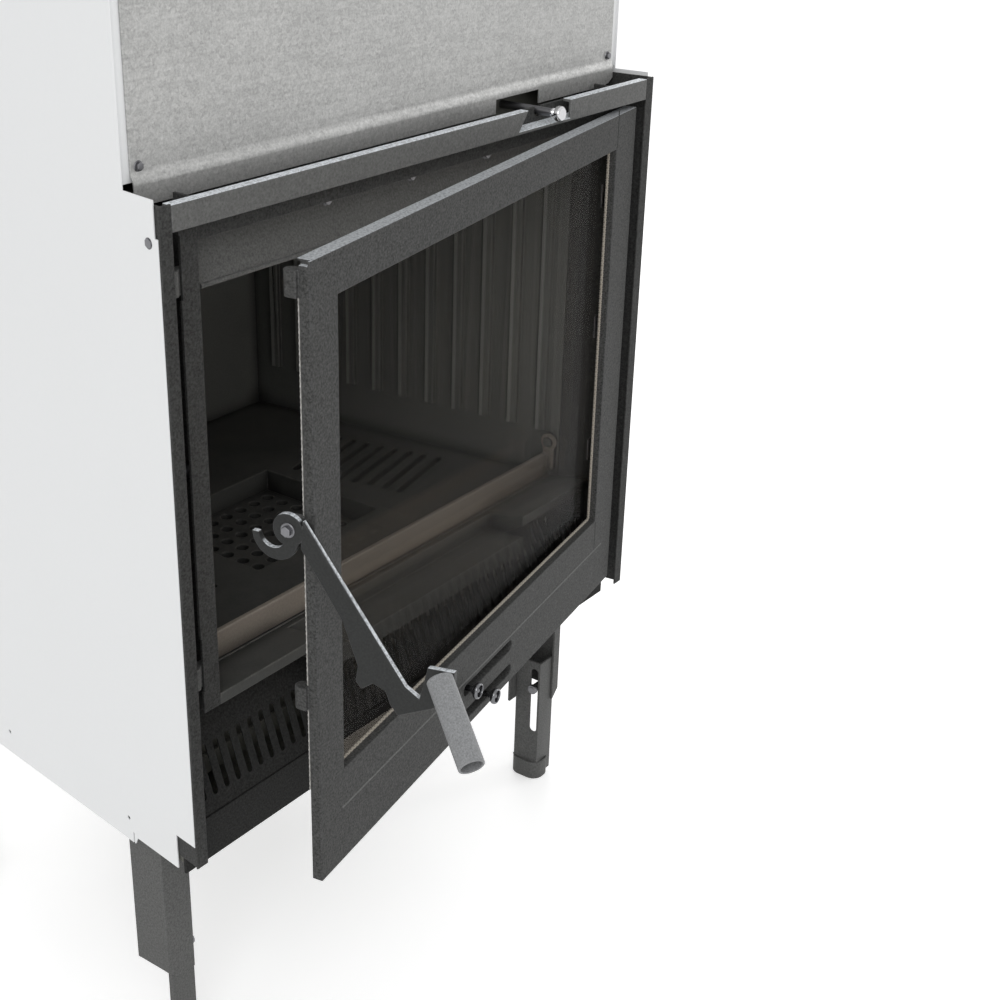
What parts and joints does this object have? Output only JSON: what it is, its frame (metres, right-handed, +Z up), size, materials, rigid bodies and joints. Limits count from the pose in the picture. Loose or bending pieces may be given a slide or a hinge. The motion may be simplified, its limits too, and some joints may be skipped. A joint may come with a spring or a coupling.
{
  "type": "fireplace insert",
  "caption": "Free-standing steel fireplace insert with a glazed side-hinged door, hook latch, tapered white casing, galvanised hood, flue socket and adjustable feet.",
  "frame": {"origin": "on the floor, under the middle of the part's outer bounds with the door ajar as in the rest pose", "axes": "+X to the hinge side of the door (right when seen from the front), +Y to the back, +Z up"},
  "size_m": [0.7, 0.8089, 1.1901],
  "materials": {
    "anthracite": "matt anthracite stove paint",
    "cast_iron": "dull, lightly sooted cast iron",
    "galvanised": "galvanised sheet with fine spangle",
    "white_enamel": "smooth white stove paint",
    "grey_primer": "plain olive grey primer",
    "bright_chrome": "polished chrome",
    "dark_steel": "dark zinc plated steel",
    "smoked_glass": "clear fire glass with a light brown tint",
    "glass_rope": "braided glass fibre rope",
    "grip_coating": "satin grey paint"
  },
  "bodies": {
    "insert": {"air_deflector": "anthracite", "air_spigots": "galvanised", "ash_pan": "galvanised", "back_wall": "cast_iron", "base_tray": "grey_primer", "casing_screws": "dark_steel", "catch_pin": "dark_steel", "cross_members": "grey_primer", "firebox_base": "grey_primer", "firebox_shell": "grey_primer", "flue_collar": "grey_primer", "frame_bottom_rail": "anthracite", "frame_post_left": "anthracite", "frame_post_right": "anthracite", "frame_top_rail": "anthracite", "grate": "cast_iron", "hearth_floor": "cast_iron", "hinge_lugs": "anthracite", "hinge_pins": "dark_steel", "hood_front": "galvanised", "hood_top": "galvanised", "jacket_back": "galvanised", "jacket_left": "white_enamel", "jacket_right": "white_enamel", "leg_bolts": "dark_steel", "leg_brackets": "anthracite", "log_retainer": "cast_iron", "seal_strip_left": "anthracite", "seal_strip_right": "anthracite", "seal_strip_top": "anthracite", "side_wall_left": "cast_iron", "side_wall_right": "cast_iron", "sill": "cast_iron", "smoke_baffle": "cast_iron", "smoke_dome": "grey_primer", "throat_plate": "grey_primer", "vent_grille": "anthracite"},
    "damper": {"damper_flap": "dark_steel", "damper_shaft": "dark_steel"},
    "damper_pull": {"damper_rod": "dark_steel", "damper_knob": "bright_chrome"},
    "door": {"door_frame": "anthracite", "door_glass": "smoked_glass", "glass_gasket": "glass_rope", "glass_clips": "dark_steel", "door_gasket": "glass_rope", "handle_bracket": "anthracite", "pivot_bolt": "dark_steel", "slide_guides": "dark_steel"},
    "latch": {"handle_lever": "anthracite", "handle_grip": "grip_coating"},
    "upper_slide": {"upper_air_slide": "dark_steel", "upper_slide_knob": "bright_chrome"},
    "lower_slide": {"lower_air_slide": "dark_steel", "lower_slide_knob": "bright_chrome"},
    "foot_front_left": {"leg_foot_front_left": "anthracite"},
    "foot_front_right": {"leg_foot_front_right": "anthracite"},
    "foot_rear_left": {"leg_foot_rear_left": "anthracite"},
    "foot_rear_right": {"leg_foot_rear_right": "anthracite"}
  },
  "joints": [
    {"name": "door_hinge", "type": "hinge", "parent": "insert", "child": "door", "pos_m": [0.32, -0.0916, 0.285], "axis": [0, 0, 1], "range_deg": [-10.14, 80]},
    {"name": "latch_pivot", "type": "hinge", "parent": "door", "child": "latch", "pos_m": [-0.31987, -0.20309, 0.6352], "axis": [0.9844, 0.1761, 0], "range_deg": [0, 35]},
    {"name": "upper_air", "type": "slide", "parent": "door", "child": "upper_slide", "axis": [0.9844, 0.1761, 0], "range_m": [-0.0072, 0.0122]},
    {"name": "lower_air", "type": "slide", "parent": "door", "child": "lower_slide", "axis": [0.9844, 0.1761, 0], "range_m": [-0.0062, 0.0132]},
    {"name": "damper_turn", "type": "hinge", "parent": "insert", "child": "damper", "pos_m": [0, 0.1894, 0.913], "axis": [1, 0, 0], "range_deg": [-90, 0]},
    {"name": "damper_pull", "type": "slide", "parent": "insert", "child": "damper_pull", "axis": [0, 1, 0], "range_m": [-0.0881, 0.0001]},
    {"name": "foot_front_left", "type": "slide", "parent": "insert", "child": "foot_front_left", "axis": [0, 0, 1], "range_m": [-0.022, 0.058]},
    {"name": "foot_front_right", "type": "slide", "parent": "insert", "child": "foot_front_right", "axis": [0, 0, 1], "range_m": [-0.022, 0.058]},
    {"name": "foot_rear_left", "type": "slide", "parent": "insert", "child": "foot_rear_left", "axis": [0, 0, 1], "range_m": [-0.022, 0.058]},
    {"name": "foot_rear_right", "type": "slide", "parent": "insert", "child": "foot_rear_right", "axis": [0, 0, 1], "range_m": [-0.022, 0.058]}
  ],
  "couplings": [
    {"joint": "damper_pull", "follows": "damper_turn", "m_per_rad": 0.056023}
  ]
}
